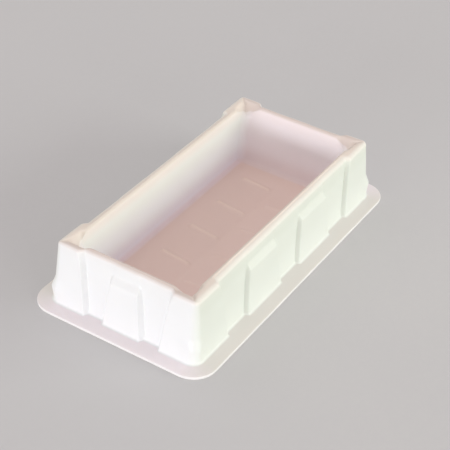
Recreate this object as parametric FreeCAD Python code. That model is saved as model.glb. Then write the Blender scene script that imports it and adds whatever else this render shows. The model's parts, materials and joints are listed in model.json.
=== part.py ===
import FreeCAD, Part
import math
import os

# A one-piece reagent reservoir, vacuum-formed from a single sheet of white polystyrene.
# The sheet starts as a flat flange on the bench, climbs the ribbed outer skirt, folds over
# the narrow rim and drops down the smooth inner wall to the floor of the well. The space
# between skirt and well is open from below. X runs along the tray, Y across it, Z up, and
# the origin is on the bench at the middle of the flange. All sizes are in millimetres.

# overall
tray_height = 27.0
sheet = 1.2

# flange that lies on the bench, and how far it stands out past the skirt
flange_length = 140.0
flange_width = 76.0
flange_corner = 9.5
flange_end_margin = 5.5
flange_side_margin = 5.2

# outer skirt with a post at each corner; post widths are measured at bench level
skirt_draft = 6.0
side_post_width = 19.9
end_post_width = 15.7
post_corner = 3.0

# upright recesses that part the skirt into panels and posts
side_panel_depth = 1.8
end_panel_depth = 2.4
flank_run = 1.8
side_recess_count = 3
side_recess_width = 12.4
end_recess_count = 2
end_recess_width = 6.2

# the panels between the recesses stop below the rim in a sloping ledge
panel_height = 20.4
ledge_rise = 1.8

# rim and well
rim_width = 3.2
rim_edge_radius = 0.9
floor_height = 4.5
side_wall_draft = 7.0
end_wall_draft = 19.0
well_corner = 4.0
floor_edge_radius = 2.5

# the floor is slightly crowned along its middle and carries low cross ribs, which start
# beside the middle line and stop short of the walls
floor_crown = 0.6
rib_count = 5
rib_width = 2.2
rib_height = 0.35
rib_start = 1.0
rib_end_margin = 9.3
rib_side_margin = 9.2

# a pouring spout crosses the rim at each corner
spout_radius = 5.0
spout_depth_inside = 3.8
spout_depth_outside = 0.7

# lugs at the foot of the posts keep stacked trays from jamming; their ends dip into the post
lug_stand_out = 1.4
lug_height = 7.0
lug_top = 12.5
lug_bite = 0.3

# how far a cutting shape runs past the face that it opens, and how near a level is on it
clear = 1.0
near = 0.1

skirt_slope = math.tan(math.radians(skirt_draft))
side_slope = math.tan(math.radians(side_wall_draft))
end_slope = math.tan(math.radians(end_wall_draft))
corner_share = 1 - math.sqrt(0.5)
skirt_half_length = flange_length / 2 - flange_end_margin
skirt_half_width = flange_width / 2 - flange_side_margin
well_half_length = skirt_half_length - tray_height * skirt_slope - end_panel_depth - rim_width
well_half_width = skirt_half_width - tray_height * skirt_slope - side_panel_depth - rim_width
floor_half_length = well_half_length - (tray_height - floor_height) * end_slope
floor_half_width = well_half_width - (tray_height - floor_height) * side_slope
crown_slope = floor_crown / floor_half_width
rib_pitch = 2 * (floor_half_length - rib_end_margin) / (rib_count - 1)
rib_length = floor_half_width - rib_start - rib_side_margin


def vector(x, y, z=0.0):
    return FreeCAD.Vector(x, y, z)


def offset_corner(before, corner, after, inset):
    """Where a corner of a polygon that runs anticlockwise goes when its sides move in."""
    a = (corner - before).normalize()
    b = (after - corner).normalize()
    bisector = vector(-a.y, a.x) + vector(-b.y, b.x)
    return corner + bisector * (2 * inset / bisector.dot(bisector))


def inset_polygon(points, inset):
    count = len(points)
    return [offset_corner(points[i - 1], points[i], points[(i + 1) % count], inset)
            for i in range(count)]


def corner_arc(before, corner, after, radius):
    """Start, middle and end of the arc that rounds a square corner."""
    back = (before - corner).normalize()
    ahead = (after - corner).normalize()
    middle = corner + (back + ahead) * (radius * corner_share)
    return corner + back * radius, middle, corner + ahead * radius


def rounded_wire(points, rounded, radius, z):
    """A closed wire through the points at height z, with an arc at each corner in rounded."""
    up = vector(0, 0, z)
    count = len(points)
    edges = []
    for i, corner in enumerate(points):
        start, middle, end = corner_arc(points[i - 1], corner, points[(i + 1) % count], radius)
        if i in rounded:
            edges.append(Part.Arc(start + up, middle + up, end + up).toShape())
        leave = end if i in rounded else corner
        after = (i + 1) % count
        arrive = points[after]
        if after in rounded:
            arrive = corner_arc(corner, points[after], points[(i + 2) % count], radius)[0]
        edges.append(Part.LineSegment(leave + up, arrive + up).toShape())
    return Part.Wire(edges)


def row(count, pitch):
    """Evenly spaced places either side of the middle."""
    return [(i - (count - 1) / 2) * pitch for i in range(count)]


def post_profile(half_span, reach, depth):
    """One side of the plan with only its two posts: (distance along, distance out)."""
    return [(-half_span, depth), (-reach - flank_run, depth), (-reach, 0.0),
            (reach, 0.0), (reach + flank_run, depth)]


def posts_wire(z, inset):
    """The skirt's plan at height z, as the recess planes and the four corner posts."""
    half_x = skirt_half_length - z * skirt_slope
    half_y = skirt_half_width - z * skirt_slope
    side = post_profile(half_x, skirt_half_length - side_post_width - flank_run, side_panel_depth)
    end = post_profile(half_y, skirt_half_width - end_post_width - flank_run, end_panel_depth)
    plane_y = half_y - side_panel_depth
    plane_x = half_x - end_panel_depth
    points = [vector(along, -plane_y - out) for along, out in side]
    points += [vector(plane_x + out, along) for along, out in end]
    points += [vector(-along, plane_y + out) for along, out in side]
    points += [vector(-plane_x - out, -along) for along, out in end]
    corners = [0, len(side), len(side) + len(end), 2 * len(side) + len(end)]
    return rounded_wire(inset_polygon(points, inset), corners, post_corner - inset, z)


def panel(middle, width, depth, plane, inset, bottom):
    """A panel that stands out of a recess plane facing -Y, ending in a sloping ledge on top."""
    wires = []
    for z, share in ((bottom, 1.0), (panel_height - inset * skirt_slope, 1.0),
                     (panel_height + ledge_rise - inset, 0.0)):
        face = z * skirt_slope - plane
        front = width / 2 - flank_run * share
        sunk = depth + 2 * inset
        back = width / 2 + flank_run * sunk / depth
        points = [vector(middle - front, face - depth * share),
                  vector(middle + front, face - depth * share),
                  vector(middle + back, face + sunk), vector(middle - back, face + sunk)]
        wires.append(rounded_wire(inset_polygon(points, inset), [], 0.0, z))
    return Part.makeLoft(wires, True, True)


def panels(half_span, post_width, count, recess_width, depth, plane, inset, bottom):
    """The panels that part the recesses of the side that faces -Y."""
    pitch = 2 * (half_span - post_width - flank_run - recess_width / 2) / (count - 1)
    return [panel(middle, pitch - recess_width, depth, plane, inset, bottom)
            for middle in row(count - 1, pitch)]


def turned(shapes, angle):
    return [shape.rotated(vector(0, 0), vector(0, 0, 1), angle) for shape in shapes]


def skirt_solid(inset, bottom, top):
    """The skirt as a solid block, with every face moved in by inset."""
    block = Part.makeLoft([posts_wire(bottom, inset), posts_wire(top, inset)], True, True)
    side = panels(skirt_half_length, side_post_width, side_recess_count, side_recess_width,
                  side_panel_depth, skirt_half_width - side_panel_depth, inset, bottom)
    end = panels(skirt_half_width, end_post_width, end_recess_count, end_recess_width,
                 end_panel_depth, skirt_half_length - end_panel_depth, inset, bottom)
    return block.fuse(side + turned(side, 180) + turned(end, 90) + turned(end, 270))


def rounded_rectangle(half_x, half_y, radius, z):
    points = [vector(-half_x, -half_y), vector(half_x, -half_y),
              vector(half_x, half_y), vector(-half_x, half_y)]
    return rounded_wire(points, range(4), radius, z)


def well_block(grow, top):
    """The well as a solid plug, with every face moved out by grow."""
    bottom = floor_height - grow
    side_grow = grow / math.cos(math.radians(side_wall_draft))
    end_grow = grow / math.cos(math.radians(end_wall_draft))
    wires = []
    for z in (bottom, top):
        half_x = well_half_length - (tray_height - z) * end_slope + end_grow
        half_y = well_half_width - (tray_height - z) * side_slope + side_grow
        wires.append(rounded_rectangle(half_x, half_y, well_corner + grow, z))
    block = Part.makeLoft(wires, True, True)
    lowest = [edge for edge in block.Edges if edge.BoundBox.ZMax < bottom + near]
    return block.makeFillet(floor_edge_radius + grow, lowest)


def crown_prism(lift):
    """The shallow gable under the well's floor, with its eaves at floor_height + lift."""
    half = well_half_width
    reach = flange_length / 2
    ridge = floor_height + lift + floor_crown
    eaves = ridge - half * crown_slope
    corners = [vector(-reach, -half, eaves - sheet), vector(-reach, half, eaves - sheet),
               vector(-reach, half, eaves), vector(-reach, 0, ridge),
               vector(-reach, -half, eaves)]
    return Part.Face(Part.makePolygon(corners + corners[:1])).extrude(vector(2 * reach, 0, 0))


def floor_rib(x, side):
    """A low half-round rib from beside the middle line towards one long wall."""
    radius = (rib_width ** 2 / 4 + rib_height ** 2) / (2 * rib_height)
    direction = vector(0, side, -crown_slope).normalize()
    crest = floor_height + floor_crown - rib_start * crown_slope + rib_height
    round_bar = Part.makeCylinder(radius, rib_length, vector(x, side * rib_start, crest - radius),
                                  direction)
    slab = Part.makeBox(rib_width, 2 * rib_length, crest - floor_height + clear,
                        vector(x - rib_width / 2, side * rib_start - rib_length, floor_height))
    return round_bar.common(slab)


def floor_ribs():
    """Ribs on one half of the floor, and one fewer on the other half between them."""
    return ([floor_rib(x, 1) for x in row(rib_count, rib_pitch)]
            + [floor_rib(x, -1) for x in row(rib_count - 1, rib_pitch)])


def mirrored_to_corners(make):
    """One copy of a shape at each corner; make(sign_x, sign_y) builds it in place."""
    return [make(sign_x, sign_y) for sign_x in (-1, 1) for sign_y in (-1, 1)]


def spouts(grow):
    """The round channels that the spouts are pressed with, along the corners' diagonals."""
    inside = vector(well_half_length - well_corner * corner_share,
                    well_half_width - well_corner * corner_share)
    outside = vector(well_half_length + rim_width + end_panel_depth - post_corner * corner_share,
                     well_half_width + rim_width + side_panel_depth - post_corner * corner_share)
    run = outside - inside
    rise = spout_depth_inside - spout_depth_outside
    start = inside - run + vector(0, 0, tray_height + spout_radius - spout_depth_inside - rise)
    end = outside + run + vector(0, 0, tray_height + spout_radius - spout_depth_outside + rise)
    axis = end - start

    def spout(sign_x, sign_y):
        return Part.makeCylinder(spout_radius + grow, axis.Length,
                                 vector(sign_x * start.x, sign_y * start.y, start.z),
                                 vector(sign_x * axis.x, sign_y * axis.y, axis.z))
    return mirrored_to_corners(spout)


def lugs(inset):
    """Double cones that follow the posts' leaning corners, widest at lug_height."""
    widest = post_corner + lug_stand_out - inset
    narrow = post_corner - lug_bite - inset

    def middle(sign_x, sign_y, z):
        inwards = post_corner + z * skirt_slope
        return vector(sign_x * (skirt_half_length - inwards),
                      sign_y * (skirt_half_width - inwards), z)

    def lug(sign_x, sign_y):
        foot = middle(sign_x, sign_y, sheet / 2 - inset)
        waist = middle(sign_x, sign_y, lug_height)
        top = middle(sign_x, sign_y, lug_top)
        lower = Part.makeCone(narrow, widest, (waist - foot).Length, foot, waist - foot)
        upper = Part.makeCone(widest, narrow, (top - waist).Length, waist, top - waist)
        return lower.fuse(upper)
    return mirrored_to_corners(lug)


def flange():
    wire = rounded_rectangle(flange_length / 2, flange_width / 2, flange_corner, 0.0)
    return Part.Face(wire).extrude(vector(0, 0, sheet))


def well_floor():
    """What lies over the plain floor: the crown and its ribs, kept inside the well."""
    raised = crown_prism(0.0).fuse(floor_ribs())
    return raised.common(well_block(0.0, tray_height))


def rim_and_outer_shape():
    """The outside of the tray with the well let into it and both rim edges rounded."""
    block = skirt_solid(0.0, 0.0, tray_height).removeSplitter()
    block = block.cut(well_block(0.0, tray_height + clear))
    top_edges = [edge for edge in block.Edges if edge.BoundBox.ZMin > tray_height - near]
    block = block.makeFillet(rim_edge_radius, top_edges)
    return block.fuse(lugs(0.0) + [flange()] + [well_floor()])


def hollow_below():
    """The space between skirt and well, which is open to the bench."""
    inside = skirt_solid(sheet, -clear, tray_height - sheet).fuse(lugs(sheet))
    well_skin = well_block(sheet, tray_height + clear).cut(crown_prism(-sheet))
    return inside.cut([well_skin] + spouts(sheet))


def reservoir():
    return rim_and_outer_shape().cut(spouts(0.0)).cut(hollow_below())


os.makedirs("parts", exist_ok=True)
shape = reservoir()
shape.exportStep("parts/reservoir.step")
print("reservoir", shape.ShapeType, len(shape.Solids), "solids", shape.isValid(),
      round(shape.Volume, 1), shape.BoundBox)
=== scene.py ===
import json
import math
from collections import namedtuple

import bpy
from mathutils import Matrix, Vector

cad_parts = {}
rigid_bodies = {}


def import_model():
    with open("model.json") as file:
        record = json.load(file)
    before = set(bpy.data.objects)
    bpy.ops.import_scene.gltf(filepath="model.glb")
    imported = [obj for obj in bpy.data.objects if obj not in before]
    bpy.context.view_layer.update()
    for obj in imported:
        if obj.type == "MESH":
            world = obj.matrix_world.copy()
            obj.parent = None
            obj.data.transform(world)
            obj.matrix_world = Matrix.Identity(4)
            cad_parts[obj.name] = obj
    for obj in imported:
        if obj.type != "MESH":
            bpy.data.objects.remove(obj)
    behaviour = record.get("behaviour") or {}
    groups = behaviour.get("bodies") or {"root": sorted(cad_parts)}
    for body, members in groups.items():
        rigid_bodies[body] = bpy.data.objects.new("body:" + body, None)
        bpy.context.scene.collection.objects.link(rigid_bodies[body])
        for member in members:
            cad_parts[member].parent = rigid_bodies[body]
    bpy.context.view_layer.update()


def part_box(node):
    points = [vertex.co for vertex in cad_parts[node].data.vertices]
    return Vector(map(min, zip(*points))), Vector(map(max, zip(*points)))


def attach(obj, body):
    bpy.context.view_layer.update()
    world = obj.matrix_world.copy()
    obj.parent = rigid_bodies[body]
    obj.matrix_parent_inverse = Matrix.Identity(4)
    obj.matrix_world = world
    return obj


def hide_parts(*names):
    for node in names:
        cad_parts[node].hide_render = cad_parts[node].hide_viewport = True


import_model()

# ---------------------------------------------------------------------------------------------
# The reservoir, as it leaves the mould but without its relief.
# It is one sheet of white polystyrene drawn over a mould by vacuum: a flat flange, a leaning
# outer skirt, a narrow rim folded over the top, and the walls and floor of the well.
# ---------------------------------------------------------------------------------------------
mm = 0.001
low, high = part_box("reservoir")
flange_half = Vector((high.x, high.y))
tray_height = high.z

sheet = 1.2 * mm
flange_corner = 9.4 * mm
flange_width = Vector((5.5, 5.7)) * mm
skirt_half = flange_half - flange_width
skirt_draft = {"end": math.radians(6.0), "side": math.radians(4.9)}
post_corner = {"foot": 4.3 * mm, "top": 2.4 * mm}
foot_radius = 0.8 * mm
press_depth = {"end": 2.1 * mm, "side": 1.8 * mm}
rim_width = {"end": 2.4 * mm, "side": 3.2 * mm}
rim_outer_radius = {"end": 1.1 * mm, "side": 1.9 * mm}
rim_inner_radius = 1.3 * mm
wall_draft = {"end": math.radians(19.0), "side": math.radians(7.0)}
well_corner = 3.2 * mm
floor_height = 4.5 * mm
floor_edge_radius = 2.6 * mm

# A ring is one closed turn round the tray. It holds (distance out, height) at the middle of the
# ends and of the sides, its corner radius, how far it follows the recesses, how far its points
# are spread for the floor instead of for the skirt, and how far the sheet was drawn there.
Ring = namedtuple("Ring", "end side corner press spread drawn")


def steps(start, stop, count):
    return [start + (stop - start) * i / count for i in range(count + 1)]


def mix(a, b, share):
    return a + (b - a) * share


def ramp(value, start, stop):
    share = min(max((value - start) / (stop - start), 0.0), 1.0)
    return share * share * (3 - 2 * share)


def skirt_foot(direction):
    return skirt_half.x if direction == "end" else skirt_half.y


def skirt_out(direction, height):
    return skirt_foot(direction) - height * math.tan(skirt_draft[direction])


def skirt_corner(height):
    return mix(post_corner["foot"], post_corner["top"], height / tray_height)


def well_top(direction):
    return skirt_out(direction, tray_height) - press_depth[direction] - rim_width[direction]


def arc_on_skirt(direction, radius, side, centre_height, share):
    """A point on an arc from the skirt's face (0) to the level (1); side is 1 outside the skirt."""
    draft = skirt_draft[direction]
    first, last = (math.pi + draft, math.pi * 1.5) if side > 0 else (draft, math.pi / 2)
    angle = mix(first, last, share)
    lean = centre_height * math.sin(draft)
    centre = skirt_foot(direction) + (side * radius - lean) / math.cos(draft)
    return (centre + radius * math.cos(angle), centre_height + radius * math.sin(angle))


def wall_out(direction, height):
    return well_top(direction) - (tray_height - height) * math.tan(wall_draft[direction])


def wall_angle(direction, side, share):
    """The angle on an arc that touches the well's wall, as share goes inwards from 0 to 1."""
    draft = wall_draft[direction]
    first, last = (-draft, -math.pi / 2) if side > 0 else (math.pi / 2, math.pi - draft)
    return mix(first, last, share)


def arc_on_wall(direction, radius, side, centre_height, share):
    """A point on an arc that touches the well's wall; side is 1 on the liquid's side."""
    draft = wall_draft[direction]
    angle = wall_angle(direction, side, share)
    lean = (centre_height - tray_height) * math.sin(draft)
    centre = well_top(direction) + (lean - side * radius) / math.cos(draft)
    return (centre + radius * math.cos(angle), centre_height + radius * math.sin(angle))


def both(rule, *values):
    """What a rule gives for the ends and for the long sides."""
    return rule("end", *values), rule("side", *values)


def flange_rings():
    """Rings from the flange's edge to the foot; the second lies close to the edge."""
    foot_end, foot_side = both(arc_on_skirt, foot_radius, 1, sheet + foot_radius, 1.0)
    return [Ring((mix(flange_half.x, foot_end[0], share), sheet),
                 (mix(flange_half.y, foot_side[0], share), sheet),
                 mix(flange_corner, post_corner["foot"] + foot_radius, share),
                 press=share, spread=0.0, drawn=0.0)
            for share in (0.0, 0.06, 0.3, 0.55, 0.8)]


def foot_rings():
    """Rings round the bend from the flange up into the skirt."""
    return [Ring(*both(arc_on_skirt, foot_radius, 1, sheet + foot_radius, share),
                 post_corner["foot"] + foot_radius * (1 - math.cos(math.pi / 2 * share)),
                 press=1.0, spread=0.0, drawn=0.2)
            for share in steps(1.0, 0.0, 5)]


def skirt_rings():
    """Rings up the skirt; they crowd at the lugs and at the heads of the panels."""
    def point(direction, height):
        return (skirt_out(direction, height), height)
    at_lugs = steps(3.2 * mm, 12.8 * mm, 12)
    between = [15 * mm, 17.2 * mm]
    at_heads = steps(19.0 * mm, 23.4 * mm, 11)
    under_rim = [24.4 * mm]
    return [Ring(*both(point, height), skirt_corner(height), press=1.0, spread=0.0, drawn=0.5)
            for height in at_lugs + between + at_heads + under_rim]


def rim_rings():
    """Rings up the rim's outer bend, across its flat top and down its inner bend."""
    inner_centre = tray_height - rim_inner_radius
    inner_corner = well_corner + rim_inner_radius
    rings = []
    for share in steps(0.0, 1.0, 7):
        points = [arc_on_skirt(direction, radius, -1, tray_height - radius, share)
                  for direction, radius in rim_outer_radius.items()]
        turned_in = rim_outer_radius["side"] * (1 - math.cos(math.pi / 2 * share))
        rings.append(Ring(*points, skirt_corner(tray_height) - turned_in,
                          press=1.0, spread=0.0, drawn=0.3))
    outer = rings[-1]
    inner_end, inner_side = both(arc_on_wall, rim_inner_radius, -1, inner_centre, 0.0)
    for share in (0.25, 0.5, 0.75):
        rings.append(Ring((mix(outer.end[0], inner_end[0], share), tray_height),
                          (mix(outer.side[0], inner_side[0], share), tray_height),
                          mix(outer.corner, inner_corner, share),
                          press=1.0 - share, spread=0.0, drawn=0.2))
    for share in steps(0.0, 1.0, 5):
        turned_in = rim_inner_radius * math.cos(wall_angle("side", -1, share))
        rings.append(Ring(*both(arc_on_wall, rim_inner_radius, -1, inner_centre, share),
                          inner_corner + turned_in, press=0.0, spread=0.0, drawn=0.3))
    return rings


def well_rings():
    """Rings down the well's wall, closer beside the spouts, and round the bend to the floor."""
    beside_spouts = steps(25.4 * mm, 21.4 * mm, 7)
    lower_wall = steps(20.2 * mm, 8.2 * mm, 9)
    rings = []
    for height in beside_spouts + lower_wall:
        rings.append(Ring((wall_out("end", height), height), (wall_out("side", height), height),
                          well_corner, press=0.0, spread=ramp(height, 24 * mm, 11 * mm),
                          drawn=mix(0.9, 0.4, (height - floor_height) / tray_height)))
    centre_height = floor_height + floor_edge_radius
    for share in steps(0.0, 1.0, 8):
        turned_in = floor_edge_radius * (1 - math.cos(wall_angle("side", 1, share)))
        rings.append(Ring(*both(arc_on_wall, floor_edge_radius, 1, centre_height, share),
                          well_corner - turned_in, press=0.0, spread=1.0, drawn=1.0))
    return rings


# Columns run up the skirt and down the well. They crowd at the flanks of the skirt's recesses,
# with a little room on both sides, and lower in the well where the floor's ribs lie.
side_recess_pitch = 36.6 * mm
side_recess_half = 5.8 * mm
side_flank = 1.0 * mm
end_recess_pitch = 24.4 * mm
end_recess_half = 3.0 * mm
end_flank = 1.1 * mm
flank_room = 1.2 * mm
recess_taper = math.tan(math.radians(7.0))
rib_pitch = 19.5 * mm
rib_half_width = 1.5 * mm
recess_columns = 3
flank_columns = 12
arc_columns = 8


def crowded(zones, total):
    """Places from the middle outwards: each zone is (where it stops, into how many steps)."""
    places = [0.0]
    for stop, count in zones:
        places += steps(places[-1], stop, count)[1:]
    return places, total - (len(places) - 1)


def skirt_marks(recess_places, half, flank, panel_columns, total):
    """A rule that gives the skirt's marks at any height, as its recesses widen upwards."""
    def marks(height):
        wide = half + height * recess_taper
        zones = []
        for middle in recess_places:
            if middle:
                zones.append((middle - wide - flank - flank_room, panel_columns))
                zones.append((middle - wide + flank_room, flank_columns))
            zones.append((middle + wide - flank_room, recess_columns))
            zones.append((middle + wide + flank + flank_room, flank_columns))
        return crowded(zones, total)
    return marks


def rib_zones(count, between_columns=5, half_rib_columns=3):
    """Zones across the ribs. Those of the near half lie midway between those of the far half."""
    zones = [(rib_half_width, half_rib_columns)]
    for i in range(1, count):
        middle = i * rib_pitch / 2
        zones.append((middle - rib_half_width, between_columns))
        zones.append((middle + rib_half_width, 2 * half_rib_columns))
    return zones


# How many columns each half of a long side and of a short side has. On the short sides they
# crowd at the valley's middle.
long_half, short_half = 58, 37
valley_zone = (2.4 * mm, 3)
long_skirt = skirt_marks((0.0, side_recess_pitch), side_recess_half, side_flank,
                         panel_columns=8, total=long_half)
long_floor = crowded(rib_zones(5), long_half)
short_skirt = skirt_marks((end_recess_pitch / 2,), end_recess_half, end_flank,
                          panel_columns=4, total=short_half)
short_floor = crowded([valley_zone], short_half)


def half_side(marks, reach):
    """The marks of half a side, carried on in even steps until they reach the corner's arc."""
    places, rest = marks
    return places + steps(places[-1], reach, rest)[1:]


def side_columns(skirt_rule, floor_marks, ring, half_along, own, other):
    """One side of a ring: (distance along it, distance out, height) from corner to corner."""
    reach = half_along - ring.corner
    above = half_side(skirt_rule(own[1]), reach)
    below = half_side(floor_marks, reach)
    here = [mix(a, b, ring.spread) for a, b in zip(above, below)]
    half_arc = arc_columns // 2
    columns = []
    for i in range(half_arc):
        round_arc = 1 - i / half_arc
        angle = math.pi / 4 * round_arc
        columns.append((-reach - ring.corner * math.sin(angle),
                        own[0] - ring.corner * (1 - math.cos(angle)),
                        mix(own[1], other[1], 0.5 * round_arc)))
    middle = [-a for a in here[:0:-1]] + here
    columns += [(along, own[0], own[1]) for along in middle]
    arc = [(-along, out, height) for along, out, height in columns[:half_arc]]
    return columns + arc[::-1]


def ring_points(ring):
    """All points of a ring, anticlockwise from the corner at -X -Y, with what the relief needs."""
    points = []
    for turn in range(4):
        on_long_side = turn % 2 == 0
        normal = Vector((0, -1, 0)) if on_long_side else Vector((1, 0, 0))
        if turn > 1:
            normal = -normal
        tangent = Vector((-normal.y, normal.x, 0))
        if on_long_side:
            columns = side_columns(long_skirt, long_floor, ring, ring.end[0], ring.side, ring.end)
        else:
            columns = side_columns(short_skirt, short_floor, ring, ring.side[0], ring.end,
                                   ring.side)
        for i, (along, out, height) in enumerate(columns[:-1]):
            from_corner = min(i, len(columns) - 1 - i, arc_columns // 2) / arc_columns
            lengthways = 0.5 + from_corner if on_long_side else 0.5 - from_corner
            points.append((tangent * along + normal * out + Vector((0, 0, height)),
                           along, on_long_side, lengthways, normal))
    return points


def floor_grid(loop, long_count, short_count):
    """Points inside a closed loop of long + short + long + short steps, row by row."""
    front = loop[:long_count + 1]
    right = loop[long_count:long_count + short_count + 1]
    back = loop[long_count + short_count:2 * long_count + short_count + 1][::-1]
    left = (loop[2 * long_count + short_count:] + loop[:1])[::-1]
    across = right[-1].y - right[0].y
    length = front[-1].x - front[0].x
    rows = []
    for j in range(1, short_count):
        v = (left[j].y - left[0].y) / across
        row = []
        for i in range(1, long_count):
            u = (front[i].x - front[0].x) / length
            corners = mix(mix(front[0], front[-1], u), mix(back[0], back[-1], u), v)
            row.append(mix(front[i], back[i], v) + mix(left[j], right[j], u) - corners)
        rows.append(row)
    return rows


# What the relief and the finish need to know of a point: its place along its side, how far it
# follows the recesses of a long and of a short side, how far the sheet was drawn there, how far
# inwards it lies, and if it is at an end (0) or a long side (1). The second row is the floor's.
fact_names = ("along", "long_press", "short_press", "drawn", "inwards", "lengthways")
floor_facts = (0.0, 0.0, 0.0, 1.0, 1.0, 0.5)


def plain_tray():
    """The mesh of the sheet's upper face, from the flange's edge to the middle of the floor."""
    groups = (flange_rings(), foot_rings(), skirt_rings(), rim_rings(), well_rings())
    rings = [ring for group in groups for ring in group]
    inwards = [(turn + i / len(group)) / len(groups)
               for turn, group in enumerate(groups) for i in range(len(group))]
    long_count = 2 * long_half + arc_columns
    short_count = 2 * short_half + arc_columns
    turn = 2 * (long_count + short_count)
    places, facts, outward, faces = [], [], [], []
    for ring, stage in zip(rings, inwards):
        for place, along, on_long_side, lengthways, normal in ring_points(ring):
            press = (ring.press, 0.0) if on_long_side else (0.0, ring.press)
            places.append(place)
            facts.append((along, *press, ring.drawn, stage, lengthways))
            outward.append(normal)
    for k in range(len(rings) - 1):
        for i in range(turn):
            a, b = k * turn + i, k * turn + (i + 1) % turn
            faces.append((a, b, b + turn, a + turn))
    first = (len(rings) - 1) * turn
    start = len(places)
    for row in floor_grid(places[first:], long_count, short_count):
        places += row
        facts += [floor_facts] * len(row)
        outward += [Vector((0, 0, 0))] * len(row)

    def corner(i, j):
        if j == 0:
            return first + i
        if j == short_count:
            return first + 2 * long_count + short_count - i
        if i == 0:
            return first + (turn - j) % turn
        if i == long_count:
            return first + long_count + j
        return start + (j - 1) * (long_count - 1) + i - 1
    for j in range(short_count):
        for i in range(long_count):
            faces.append((corner(i, j), corner(i + 1, j), corner(i + 1, j + 1), corner(i, j + 1)))
    mesh = bpy.data.meshes.new("reservoir_sheet")
    mesh.from_pydata([tuple(place) for place in places], [], faces)
    mesh.shade_smooth()
    for name, values in zip(fact_names, zip(*facts)):
        mesh.attributes.new(name, "FLOAT", "POINT").data.foreach_set("value", values)
    vectors = [component for normal in outward for component in normal]
    mesh.attributes.new("outward", "FLOAT_VECTOR", "POINT").data.foreach_set("vector", vectors)
    return mesh


reservoir = bpy.data.objects.new("reservoir_tray", plain_tray())
bpy.context.scene.collection.objects.link(reservoir)

# ---------------------------------------------------------------------------------------------
# The finish of the sheet: white polystyrene, satin, with the fine grain of the mould on it. Its
# colour holds painted light and shade: a cool white on the skirt, painted lighter towards the
# foot on the long sides; creamy over the rim, with painted shade on its inner bend; a rosy-brown
# painted shade that deepens down the well to its floor; and painted pink light on the ends and
# greenish light on the long sides. A steel rule die cut the flange out, which leaves a paler,
# duller edge with fine lines.
# ---------------------------------------------------------------------------------------------


class Field:
    """A value or colour that varies over the sheet, worked out by the nodes of a tree."""

    def __init__(self, tree, socket):
        self.tree = tree
        self.socket = socket

    def math(self, operation, *others):
        node = self.tree.nodes.new("ShaderNodeMath")
        node.operation = operation
        for socket, value in zip(node.inputs, (self,) + others):
            feed(socket, value)
        return Field(self.tree, node.outputs[0])

    def __add__(self, other):
        return self.math("ADD", other)

    def __sub__(self, other):
        return self.math("SUBTRACT", other)

    def __rsub__(self, other):
        return (self * -1.0).math("ADD", other)

    def __mul__(self, other):
        return self.math("MULTIPLY", other)

    def __truediv__(self, other):
        return self.math("DIVIDE", other)

    def clamped(self, lowest, highest):
        return self.math("MAXIMUM", lowest).math("MINIMUM", highest)

    def eased(self, start, stop):
        """0 before start and 1 after stop, with a soft turn at both."""
        share = ((self - start) / (stop - start)).clamped(0.0, 1.0)
        return share * share * (3.0 - share * 2.0)


def feed(socket, value):
    """Gives a socket a Field, by a link, or a value that is the same all over."""
    if isinstance(value, Field):
        value.tree.links.new(value.socket, socket)
    else:
        socket.default_value = value


def noise(tree, vector, size, detail):
    """Noise of about the given grain size, from 0 to 1."""
    node = tree.nodes.new("ShaderNodeTexNoise")
    node.inputs["Scale"].default_value = 1 / size
    node.inputs["Detail"].default_value = detail
    tree.links.new(vector, node.inputs["Vector"])
    return Field(tree, node.outputs[0])


def surface_group(name, stretch, grain, cloud):
    """A shader group that gives a surface's fine Height and its broad Cloud, both 0 to 1."""
    cloud_share, height_share = 1.6, 0.5
    tree = bpy.data.node_groups.new(name, "ShaderNodeTree")
    tree.interface.new_socket("Vector", in_out="INPUT", socket_type="NodeSocketVector")
    tree.interface.new_socket("Streaks", in_out="INPUT", socket_type="NodeSocketFloat")
    tree.interface.new_socket("Height", in_out="OUTPUT", socket_type="NodeSocketFloat")
    tree.interface.new_socket("Cloud", in_out="OUTPUT", socket_type="NodeSocketFloat")
    given = tree.nodes.new("NodeGroupInput")
    result = tree.nodes.new("NodeGroupOutput")
    pull = tree.nodes.new("ShaderNodeVectorMath")
    pull.operation = "MULTIPLY"
    pull.inputs[1].default_value = (1, 1, 1 / stretch)
    tree.links.new(given.outputs["Vector"], pull.inputs[0])
    fine = noise(tree, given.outputs["Vector"], grain, detail=3)
    lines = noise(tree, pull.outputs[0], grain * 3, detail=2)
    broad = noise(tree, given.outputs["Vector"], cloud, detail=4)
    streaks = Field(tree, given.outputs["Streaks"])
    height = fine + (lines - fine) * streaks
    tree.links.new(height.socket, result.inputs["Height"])
    shade = (broad - 0.5) * cloud_share + (height - 0.5) * height_share + 0.5
    tree.links.new(shade.clamped(0.0, 1.0).socket, result.inputs["Cloud"])
    return tree


def finished(material, group, streaks, relief, roughness, darkest):
    """Gives a material its surface group: bump, roughness and a slight shading of its colour."""
    tree = material.node_tree
    shader = tree.nodes["Principled BSDF"]
    place = tree.nodes.new("ShaderNodeTexCoord")
    surface = tree.nodes.new("ShaderNodeGroup")
    surface.node_tree = group
    tree.links.new(place.outputs["Object"], surface.inputs["Vector"])
    feed(surface.inputs["Streaks"], streaks)
    bump = tree.nodes.new("ShaderNodeBump")
    bump.inputs["Strength"].default_value = 0.6
    bump.inputs["Distance"].default_value = relief
    tree.links.new(surface.outputs["Height"], bump.inputs["Height"])
    tree.links.new(bump.outputs[0], shader.inputs["Normal"])
    cloud = Field(tree, surface.outputs["Cloud"])
    dull = cloud * (roughness[1] - roughness[0]) + roughness[0]
    feed(shader.inputs["Roughness"], dull)
    return cloud * (1 - darkest) + darkest


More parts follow.
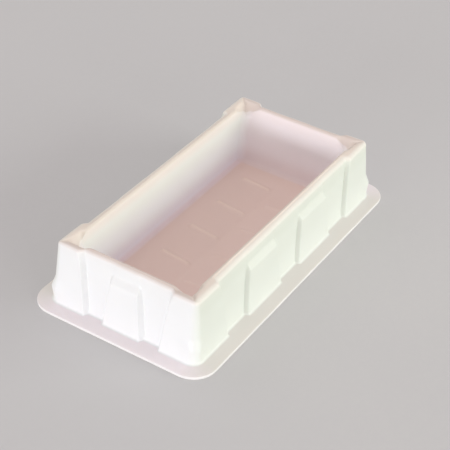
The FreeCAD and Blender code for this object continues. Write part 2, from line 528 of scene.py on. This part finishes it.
def shaded(material, colour, shade):
    """Multiplies a colour by a grey value and gives it to the material's shader."""
    tree = material.node_tree
    scale = tree.nodes.new("ShaderNodeVectorMath")
    scale.operation = "SCALE"
    feed(scale.inputs[0], colour)
    feed(scale.inputs["Scale"], shade)
    tree.links.new(scale.outputs[0], tree.nodes["Principled BSDF"].inputs["Base Color"])


def new_material(name):
    material = bpy.data.materials.new(name)
    material.use_nodes = True
    return material


def attribute_of(material, name):
    node = material.node_tree.nodes.new("ShaderNodeAttribute")
    node.attribute_name = name
    return Field(material.node_tree, node.outputs["Fac"])


# The colours stand in order inwards, for the ends and for the long sides: up to 0.2 on the
# flange, then the foot's bend, from 0.4 the skirt, from 0.6 the rim, and from 0.8 the well.
# Much of this is painted light and shade: pink light on the ends and a cooler, greenish light
# on the long sides, the long sides' skirt lighter at its foot and their flange darker, shade
# on the rim's inner bend, and a rosy-brown shade that deepens down the well to its floor.
sheet_colours_and_painted_light = (
    (0.00, (0.91, 0.85, 0.88), (0.82, 0.79, 0.75)),
    (0.18, (0.91, 0.85, 0.88), (0.81, 0.79, 0.76)),
    (0.24, (0.85, 0.87, 0.88), (0.86, 0.88, 0.84)),
    (0.40, (0.86, 0.88, 0.89), (0.82, 0.86, 0.80)),
    (0.58, (0.86, 0.88, 0.88), (0.76, 0.80, 0.72)),
    (0.65, (0.83, 0.78, 0.76), (0.87, 0.84, 0.77)),
    (0.70, (0.72, 0.63, 0.58), (0.86, 0.77, 0.69)),
    (0.76, (0.73, 0.64, 0.60), (0.80, 0.73, 0.65)),
    (0.80, (0.86, 0.79, 0.80), (0.87, 0.84, 0.78)),
    (0.85, (0.91, 0.85, 0.88), (0.87, 0.91, 0.86)),
    (0.90, (0.90, 0.81, 0.84), (0.90, 0.93, 0.95)),
    (0.94, (0.83, 0.70, 0.71), (0.89, 0.85, 0.93)),
    (0.97, (0.79, 0.64, 0.63), (0.81, 0.67, 0.70)),
    (1.00, (0.78, 0.595, 0.545), (0.78, 0.595, 0.545)))
# A paler colour that the floor ribs' crests are mixed towards: a painted highlight.
rib_highlight_colour = (0.86, 0.68, 0.6, 1)


def colour_ramp(material, factor, steps_of_colour):
    """A soft colour ramp over (position, colour) steps, driven by factor."""
    node = material.node_tree.nodes.new("ShaderNodeValToRGB")
    node.color_ramp.interpolation = "EASE"
    stops = node.color_ramp.elements
    for position, colour in steps_of_colour[1:-1]:
        stops.new(position)
    for stop, (position, colour) in zip(stops, steps_of_colour):
        stop.position = position
        stop.color = (*colour, 1)
    feed(node.inputs[0], factor)
    return Field(material.node_tree, node.outputs[0])


def colour_mix(material, share, first, second):
    """Goes from a first colour to a second by a share that varies over the surface."""
    node = material.node_tree.nodes.new("ShaderNodeMix")
    node.data_type = "RGBA"
    sockets = {socket.identifier: socket for socket in node.inputs}
    feed(sockets["Factor_Float"], share)
    feed(sockets["A_Color"], first)
    feed(sockets["B_Color"], second)
    result = next(socket for socket in node.outputs if socket.identifier == "Result_Color")
    return Field(material.node_tree, result)


styrene = new_material("white_styrene_sheet")
styrene_shader = styrene.node_tree.nodes["Principled BSDF"]
styrene_shader.inputs["IOR"].default_value = 1.55
styrene_shader.inputs["Subsurface Weight"].default_value = 0.12
styrene_shader.inputs["Subsurface Radius"].default_value = (1.0, 0.9, 0.8)
styrene_shader.inputs["Subsurface Scale"].default_value = 0.8 * mm
inwards = attribute_of(styrene, "inwards")
# The sheet's colour by how far inwards a point lies, painted light and shade included, mixed from
# the ends to the long sides.
at_ends = colour_ramp(styrene, inwards, [(stage, end) for stage, end, side in sheet_colours_and_painted_light])
at_sides = colour_ramp(styrene, inwards, [(stage, side) for stage, end, side in sheet_colours_and_painted_light])
colour = colour_mix(styrene, attribute_of(styrene, "lengthways"), at_ends, at_sides)
# The floor ribs' crests are mixed towards the paler colour, a painted highlight.
colour = colour_mix(styrene, attribute_of(styrene, "crest"), colour, rib_highlight_colour)
mould_grain = surface_group("mould_grain", stretch=14.0, grain=0.45 * mm, cloud=16 * mm)
most_streaks = 0.7
shade = finished(styrene, mould_grain, streaks=attribute_of(styrene, "drawn") * most_streaks,
                 relief=0.05 * mm, roughness=(0.36, 0.5), darkest=0.975)
shaded(styrene, colour, shade)

cut_edge = new_material("die_cut_edge")
die_lines = surface_group("die_lines", stretch=30.0, grain=0.12 * mm, cloud=5 * mm)
shade = finished(cut_edge, die_lines, streaks=1.0, relief=0.04 * mm, roughness=(0.55, 0.7),
                 darkest=0.93)
edge_whites = ((0.93, (0.86, 0.86, 0.85)), (0.965, (0.9, 0.89, 0.88)), (1.0, (0.92, 0.91, 0.9)))
shaded(cut_edge, colour_ramp(cut_edge, shade, edge_whites), shade)

# ---------------------------------------------------------------------------------------------
# The relief of the mould: upright recesses that leave panels and corner posts standing out, a
# pouring spout over each corner of the rim, a stacking lug at the foot of each post, and the
# floor's shallow valley and low cross ribs. Each is a rule that moves the sheet's points.
# ---------------------------------------------------------------------------------------------


class Relief:
    """A node tree that moves the sheet's points, and its modifier on the reservoir."""

    def __init__(self, name, sizes, words=()):
        self.tree = bpy.data.node_groups.new(name, "GeometryNodeTree")
        face = self.tree.interface
        face.new_socket("Geometry", in_out="INPUT", socket_type="NodeSocketGeometry")
        face.new_socket("Geometry", in_out="OUTPUT", socket_type="NodeSocketGeometry")
        self.values = dict(sizes)
        self.ids = {}
        for label in self.values:
            socket = face.new_socket(label, in_out="INPUT", socket_type="NodeSocketFloat")
            self.ids[label] = socket.identifier
        self.words = dict(words)
        for label in self.words:
            socket = face.new_socket(label, in_out="INPUT", socket_type="NodeSocketString")
            self.ids[label] = socket.identifier
        socket = face.new_socket("Material", in_out="INPUT", socket_type="NodeSocketMaterial")
        self.ids["Material"] = socket.identifier
        self.inputs = self.tree.nodes.new("NodeGroupInput")
        place = self.tree.nodes.new("GeometryNodeInputPosition")
        self.split = self.tree.nodes.new("ShaderNodeSeparateXYZ")
        self.tree.links.new(place.outputs[0], self.split.inputs[0])

    def size(self, label):
        return Field(self.tree, self.inputs.outputs[label])

    def place(self, axis):
        return Field(self.tree, self.split.outputs[axis])

    def attribute(self, name, kind="FLOAT"):
        node = self.tree.nodes.new("GeometryNodeInputNamedAttribute")
        node.data_type = kind
        if name in self.words:
            self.tree.links.new(self.inputs.outputs[name], node.inputs["Name"])
        else:
            node.inputs["Name"].default_value = name
        return Field(self.tree, node.outputs[0])

    def vector(self, x, y, z):
        node = self.tree.nodes.new("ShaderNodeCombineXYZ")
        for socket, value in zip(node.inputs, (x, y, z)):
            feed(socket, value)
        return node.outputs[0]

    def scaled(self, vector, factor):
        node = self.tree.nodes.new("ShaderNodeVectorMath")
        node.operation = "SCALE"
        feed(node.inputs[0], vector)
        feed(node.inputs["Scale"], factor)
        return node.outputs[0]

    def half_count(self):
        return (self.size("Count") - 1.0) * 0.5

    def off_middle(self, place):
        """How far a place is from the middle of the nearest one in a row of Count at Pitch."""
        turn = (place / self.size("Pitch") + self.half_count()).math("ROUND")
        turn = turn.clamped(0.0, self.size("Count") - 1.0)
        return (place - (turn - self.half_count()) * self.size("Pitch")).math("ABSOLUTE")

    def stored(self, name, value):
        """A node that keeps a value under a name on every point."""
        node = self.tree.nodes.new("GeometryNodeStoreNamedAttribute")
        node.data_type = "FLOAT"
        node.domain = "POINT"
        node.inputs["Name"].default_value = name
        feed(node.inputs["Value"], value)
        return node

    def finish(self, offset, *kept):
        """Moves every point by offset, after any values are kept, and gives it its material."""
        nodes, links = self.tree.nodes, self.tree.links
        move = nodes.new("GeometryNodeSetPosition")
        real = nodes.new("GeometryNodeRealizeInstances")
        paint = nodes.new("GeometryNodeSetMaterial")
        out = nodes.new("NodeGroupOutput")
        shape = self.inputs.outputs["Geometry"]
        for node in kept:
            links.new(shape, node.inputs["Geometry"])
            shape = node.outputs["Geometry"]
        links.new(shape, move.inputs["Geometry"])
        links.new(offset, move.inputs["Offset"])
        links.new(move.outputs[0], real.inputs[0])
        links.new(real.outputs[0], paint.inputs["Geometry"])
        links.new(self.inputs.outputs["Material"], paint.inputs["Material"])
        links.new(paint.outputs[0], out.inputs[0])

    def put_on(self, piece, **changes):
        modifier = piece.modifiers.new(self.tree.name, "NODES")
        modifier.node_group = self.tree
        for label, value in {**self.values, **self.words, **changes}.items():
            modifier[self.ids[label.replace("_", " ")]] = value
        modifier[self.ids["Material"]] = styrene


def pressed_recesses():
    """Presses the skirt in between its posts and panels, and slopes the panels' heads."""
    relief = Relief("pressed recesses", {
        "Count": 3.0, "Pitch": side_recess_pitch, "Half width": side_recess_half,
        "Flank": side_flank, "Taper": recess_taper, "Depth": press_depth["side"],
        "Panel height": 19.2 * mm, "Ledge rise": 2.9 * mm, "Roundness": 0.4,
        "Crease": 0.25 * mm, "Crease width": 0.8 * mm, "Crease set in": 0.3,
        "Crease foot": 1.6 * mm, "Crease full": 4.0 * mm, "Crease head": 19 * mm,
        "Crease fade": 3.5 * mm, "Post crease": 4.5 * mm,
        "Rim flank": 1.0 * mm, "Rim flank start": 21.5 * mm, "Rim fall": 0.3 * mm,
        "Rim depth": 4 * mm, "Rise start": 43 * mm, "Rise end": 54 * mm},
        {"Press": "long_press"})
    along = relief.attribute("along")
    press = relief.attribute("Press")
    height = relief.place("Z")
    half_width = relief.size("Half width") + height * relief.size("Taper")
    away = relief.off_middle(along) - half_width
    run = height.eased(relief.size("Rim flank start"), tray_height) * relief.size("Rim flank")
    flank = (away / (run + relief.size("Flank"))).clamped(0.0, 1.0)
    head = ((height - relief.size("Panel height")) / relief.size("Ledge rise")).clamped(0.0, 1.0)
    last_recess = relief.half_count() * relief.size("Pitch")
    on_post = along.math("ABSOLUTE").math("GREATER_THAN", last_recess)
    head = head * (1.0 - on_post)
    short_of = 1.0 - flank
    short_of = (short_of * short_of + head * head).math("SQRT")
    proud = (1.0 - short_of).math("SMOOTH_MAX", 0.0, relief.size("Roundness"))
    proud = proud.math("SMOOTH_MIN", 1.0, relief.size("Roundness"))
    off_foot = away + relief.size("Crease width") * relief.size("Crease set in")
    crease = (off_foot.math("ABSOLUTE") / relief.size("Crease width")).eased(1.0, 0.0)
    crease = crease * height.eased(relief.size("Crease foot"), relief.size("Crease full"))
    crease_head = on_post * relief.size("Post crease") + relief.size("Crease head")
    crease = crease * height.eased(crease_head, crease_head - relief.size("Crease fade"))
    inward = ((proud - 1.0) * relief.size("Depth") - crease * relief.size("Crease")) * press
    rise = along.math("ABSOLUTE").eased(relief.size("Rise start"), relief.size("Rise end"))
    near_top = height.eased(tray_height - relief.size("Rim depth"), tray_height)
    drop = (rise - 1.0) * relief.size("Rim fall") * near_top * press
    outward = relief.attribute("outward", "FLOAT_VECTOR")
    add = relief.tree.nodes.new("ShaderNodeVectorMath")
    relief.tree.links.new(relief.scaled(outward, inward), add.inputs[0])
    relief.tree.links.new(relief.vector(0.0, 0.0, drop), add.inputs[1])
    relief.finish(add.outputs[0])
    return relief


recesses = pressed_recesses()
recesses.put_on(reservoir)
recesses.put_on(reservoir, Count=2.0, Pitch=end_recess_pitch, Half_width=end_recess_half,
                Flank=end_flank, Depth=press_depth["end"], Rise_start=17.0 * mm,
                Rise_end=24.0 * mm, Press="short_press")


def corner_field(relief, origin, direction):
    """Distances along and across a corner's diagonal, the same in all four corners."""
    x = relief.place("X").math("ABSOLUTE") - origin.x
    y = relief.place("Y").math("ABSOLUTE") - origin.y
    return (x * direction.x + y * direction.y, x * direction.y - y * direction.x)


# A rounded corner lies inside its square corner by this share of its radius, along X and Y.
inside_square = Vector((1, 1)) * (1 - math.sqrt(0.5))
mouth_corner = Vector(both(well_top)) - inside_square * well_corner
post_top = Vector(both(skirt_out, tray_height)) - inside_square * post_corner["top"]
diagonal = (post_top - mouth_corner).normalized()


def corner_spouts():
    """Sinks a V across the rim at each corner; it falls steeply at the well and then shallowly."""
    relief = Relief("corner spouts", {
        "Depth inside": 3.3 * mm, "Steep fall": 0.9, "Depth outside": 1.1 * mm,
        "Shallow fall": 0.15, "Bend": 0.6 * mm, "Reach inside": 1.5 * mm,
        "Flank slope": 0.9, "Crease radius": 0.2 * mm, "Softness": 0.4 * mm})
    along, across = corner_field(relief, mouth_corner, diagonal)
    along = along.math("MAXIMUM", relief.size("Reach inside") * -1.0)
    steep = along * relief.size("Steep fall") - relief.size("Depth inside")
    shallow = along * relief.size("Shallow fall") - relief.size("Depth outside")
    crease = steep.math("SMOOTH_MIN", shallow, relief.size("Bend")) + tray_height
    radius = relief.size("Crease radius")
    aside = (across * across + radius * radius).math("SQRT") - radius
    channel = crease + aside * relief.size("Flank slope")
    height = relief.place("Z")
    sunk = height.math("SMOOTH_MIN", channel, relief.size("Softness"))
    relief.finish(relief.vector(0.0, 0.0, sunk - height))
    return relief


corner_spouts().put_on(reservoir)


def corner_lugs():
    """Swells the foot of each post into a wedge, for the foot of a tray stacked above it."""
    relief = Relief("stacking lugs", {
        "Stand out": 1.25 * mm, "Foot": 2.0 * mm, "Crest": 7.4 * mm, "Top": 11.4 * mm,
        "Roundness": 0.3, "Half width": 5.0 * mm, "Slope share": 0.6, "Edge softness": 0.4,
        "Fade inside": 2.5 * mm})
    origin = skirt_half - Vector((1, 1)) * post_corner["foot"]
    height = relief.place("Z")
    along, across = corner_field(relief, origin, Vector((1, 1)).normalized())
    up = (height - relief.size("Foot")) / (relief.size("Crest") - relief.size("Foot"))
    down = (relief.size("Top") - height) / (relief.size("Top") - relief.size("Crest"))
    wedge = up.math("SMOOTH_MIN", down, relief.size("Roundness")).clamped(0.0, 1.0)
    slope = relief.size("Slope share")
    width = 1.0 - across.math("ABSOLUTE") / relief.size("Half width")
    width = width.math("SMOOTH_MAX", 0.0, relief.size("Edge softness"))
    width = width.math("SMOOTH_MIN", slope, relief.size("Roundness")) / slope
    outside = along.eased(relief.size("Fade inside") * -1.0, 0.0)
    push = wedge * width * outside * relief.size("Stand out") * math.sqrt(0.5)
    x_sign = relief.place("X").math("SIGN")
    y_sign = relief.place("Y").math("SIGN")
    pressed = relief.attribute("long_press").math("MAXIMUM", relief.attribute("short_press"))
    on_skirt = pressed.math("GREATER_THAN", 0.99)
    push = push * on_skirt
    relief.finish(relief.vector(push * x_sign, push * y_sign, 0.0))
    return relief


corner_lugs().put_on(reservoir)


def floor_relief():
    """Lets the floor fall to a shallow valley along its middle and raises low ribs across it.

    Side is 1 for the floor's half towards +Y and -1 for the other. The ribs' crests are painted
    paler, a painted highlight.
    """
    relief = Relief("floor relief", {
        "Valley": 2.2 * mm, "Valley edge": 2 * mm, "Valley roundness": 0.3, "Valley ends": 0.7,
        "Reach up": 1.5 * mm, "Count": 5.0, "Pitch": rib_pitch, "Half width": rib_half_width,
        "Flat share": 0.2, "Height": 0.5 * mm, "Start": 0.5 * mm, "Stop": 13.0 * mm,
        "End run": 1.2 * mm, "Side": 1.0, "Paler": 0.6})
    inside = Vector(both(wall_out, floor_height))
    x, y, height = (relief.place(axis) for axis in "XYZ")
    in_well = x.math("ABSOLUTE").math("LESS_THAN", inside.x)
    in_well = in_well * y.math("ABSOLUTE").math("LESS_THAN", inside.y)
    on_floor = in_well * height.math("LESS_THAN", relief.size("Reach up") + floor_height)
    valley = 1.0 - y.math("ABSOLUTE") / (inside.y - relief.size("Valley edge"))
    valley = valley.math("SMOOTH_MAX", 0.0, relief.size("Valley roundness"))
    valley = valley * (x.math("ABSOLUTE") / inside.x).eased(1.0, relief.size("Valley ends"))
    rib = relief.off_middle(x) / relief.size("Half width")
    rib = rib.eased(1.0, relief.size("Flat share"))
    sideways = y * relief.size("Side")
    start, stop, run = relief.size("Start"), relief.size("Stop"), relief.size("End run")
    rib = rib * sideways.eased(start, start + run) * sideways.eased(stop + run, stop) * on_floor
    rise = rib * relief.size("Height") - valley * relief.size("Valley") * on_floor
    # How far a rib's crest is mixed towards the paler colour, a painted highlight, added to what an
    # earlier pass kept.
    crest = relief.attribute("crest") + rib * relief.size("Paler")
    relief.finish(relief.vector(0.0, 0.0, rise), relief.stored("crest", crest))
    return relief


floor = floor_relief()
floor.put_on(reservoir)
floor.put_on(reservoir, Valley=0.0, Count=4.0, Height=0.3 * mm, Side=-1.0, Start=3.0 * mm,
             Paler=0.2)


def baked(piece):
    """The piece's mesh as its modifiers leave it; the modifiers are then removed."""
    evaluated = piece.evaluated_get(bpy.context.evaluated_depsgraph_get())
    mesh = bpy.data.meshes.new_from_object(evaluated)
    piece.modifiers.clear()
    old = piece.data
    piece.data = mesh
    bpy.data.meshes.remove(old)
    return mesh


tray = baked(reservoir)

# ---------------------------------------------------------------------------------------------
# The sheet's thickness. It keeps its full gauge on the flange and is thinner where it was drawn
# furthest. The edge that the die cut is square, with both of its arrises just broken.
# ---------------------------------------------------------------------------------------------
thinnest = 0.6
spout_gauge = 0.45
spout_reach = 5 * mm
spout_core = 2 * mm
thin_from, thin_full = 19 * mm, 23 * mm
arris = 0.16 * mm
cut_slot = 1
sharp_angle = math.radians(50)


def thinned(point):
    """How thin the sheet is at a point near a spout, where it was drawn over two edges at once."""
    place = Vector((abs(point.x), abs(point.y)))
    on_line = min(max((place - mouth_corner).dot(diagonal), 0.0), (post_top - mouth_corner).length)
    away = (place - mouth_corner - diagonal * on_line).length
    near = ramp(away, spout_reach, spout_core) * ramp(point.z, thin_from, thin_full)
    return mix(1.0, spout_gauge, near)


tray.materials.append(cut_edge)
gauge = reservoir.vertex_groups.new(name="gauge")
for i, (value, vertex) in enumerate(zip(tray.attributes["drawn"].data, tray.vertices)):
    full = 1.0 - value.value * (1.0 - thinnest)
    gauge.add([i], full * thinned(vertex.co), "REPLACE")
wall = reservoir.modifiers.new("sheet", "SOLIDIFY")
wall.thickness = sheet
wall.offset = -1
wall.vertex_group = "gauge"
wall.material_offset_rim = cut_slot
tray = baked(reservoir)

cut_faces_at = {}
for face in tray.polygons:
    if face.material_index == cut_slot:
        for edge in face.edge_keys:
            cut_faces_at[edge] = cut_faces_at.get(edge, 0) + 1
broken = tray.attributes.new("bevel_weight_edge", "FLOAT", "EDGE")
for edge, weight in zip(tray.edges, broken.data):
    weight.value = 1.0 if cut_faces_at.get(edge.key) == 1 else 0.0
round_off = reservoir.modifiers.new("arris", "BEVEL")
round_off.width = arris
round_off.segments = 2
round_off.limit_method = "WEIGHT"
tray = baked(reservoir)
tray.set_sharp_from_angle(angle=sharp_angle)

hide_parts("reservoir")
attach(reservoir, "root")

# ---------------------------------------------------------------------------------------------
# The bench under the reservoir: a pale laminate top, rolled matt, that takes the tray's shadow.
# The reservoir stands loose on it.
# ---------------------------------------------------------------------------------------------
bench_mesh = bpy.data.meshes.new("bench")
bench_half = 6.0
bench_corners = [(-bench_half, -bench_half, 0), (bench_half, -bench_half, 0),
                 (bench_half, bench_half, 0), (-bench_half, bench_half, 0)]
bench_mesh.from_pydata(bench_corners, [], [(0, 1, 2, 3)])
bench = bpy.data.objects.new("bench", bench_mesh)
bpy.context.scene.collection.objects.link(bench)
bench_paint = new_material("bench_laminate")
rolled = surface_group("rolled_laminate", stretch=1.0, grain=1.5 * mm, cloud=0.3)
shade = finished(bench_paint, rolled, streaks=0.4, relief=0.03 * mm, roughness=(0.72, 0.85),
                 darkest=0.97)
bench_greys = ((0.97, (0.59, 0.59, 0.6)), (0.985, (0.61, 0.61, 0.62)), (1.0, (0.63, 0.63, 0.63)))
shaded(bench_paint, colour_ramp(bench_paint, shade, bench_greys), shade)
bench_mesh.materials.append(bench_paint)

# ---------------------------------------------------------------------------------------------
# The studio: a low lamp off the near end, two broad ones along the near side, one high behind
# and one overhead, a soft sky, and the camera. The level keeps the white sheet from burning out.
# ---------------------------------------------------------------------------------------------
world = bpy.data.worlds.new("studio_air")
bpy.context.scene.world = world
world.use_nodes = True
sky = world.node_tree.nodes["Background"]
sky.inputs["Color"].default_value = (1.0, 0.93, 0.91, 1)
sky.inputs["Strength"].default_value = 0.6
lit_place = Vector((0, 0, 0.02))


def lamp(name, place, size, power, colour):
    """A rectangular lamp that points at the tray."""
    light = bpy.data.lights.new(name, "AREA")
    light.shape = "RECTANGLE"
    light.size, light.size_y = size
    light.energy = power
    light.color = colour
    light.normalize = True
    holder = bpy.data.objects.new(name, light)
    holder.location = place
    holder.rotation_euler = (lit_place - Vector(place)).to_track_quat("-Z", "Y").to_euler()
    bpy.context.scene.collection.objects.link(holder)


lamp("low_end_lamp", (-1.6, 0.05, 0.1), (0.5, 0.12), power=11.8, colour=(0.98, 0.97, 1.0))
lamp("long_side_lamp", (0.5, -1.24, 0.34), (1.0, 0.5), power=7.9, colour=(0.96, 1.0, 0.94))
lamp("near_corner_lamp", (-0.5, -1.24, 0.3), (0.7, 0.5), power=2.6, colour=(0.98, 1.0, 0.96))
lamp("back_lamp", (0.0, 1.1, 1.1), (1.2, 0.8), power=2.0, colour=(1.0, 1.0, 1.0))
lamp("overhead_lamp", (0.4, 0.15, 1.3), (0.9, 0.7), power=2.1, colour=(1.0, 0.99, 0.97))

camera = bpy.data.cameras.new("camera")
camera.lens = 103.15
camera.sensor_width = 36.0
camera.clip_start = 0.01
camera_holder = bpy.data.objects.new("camera", camera)
bpy.context.scene.collection.objects.link(camera_holder)
azimuth = math.radians(-58.917)
elevation = math.radians(36.769)
roll = math.radians(2.746)
camera_distance = 0.5114
aim = Vector((12.25, 5.14, 0)) * mm
back = Vector((math.sin(azimuth) * math.cos(elevation), -math.cos(azimuth) * math.cos(elevation),
               math.sin(elevation)))
right = Vector((math.cos(azimuth), math.sin(azimuth), 0))
up = back.cross(right)
turned = Matrix((right * math.cos(roll) + up * math.sin(roll),
                 up * math.cos(roll) - right * math.sin(roll), back)).transposed()
camera_place = Matrix.Translation(aim + back * camera_distance)
camera_holder.matrix_world = camera_place @ turned.to_4x4()
bpy.context.scene.camera = camera_holder
bpy.context.scene.view_settings.view_transform = "Standard"
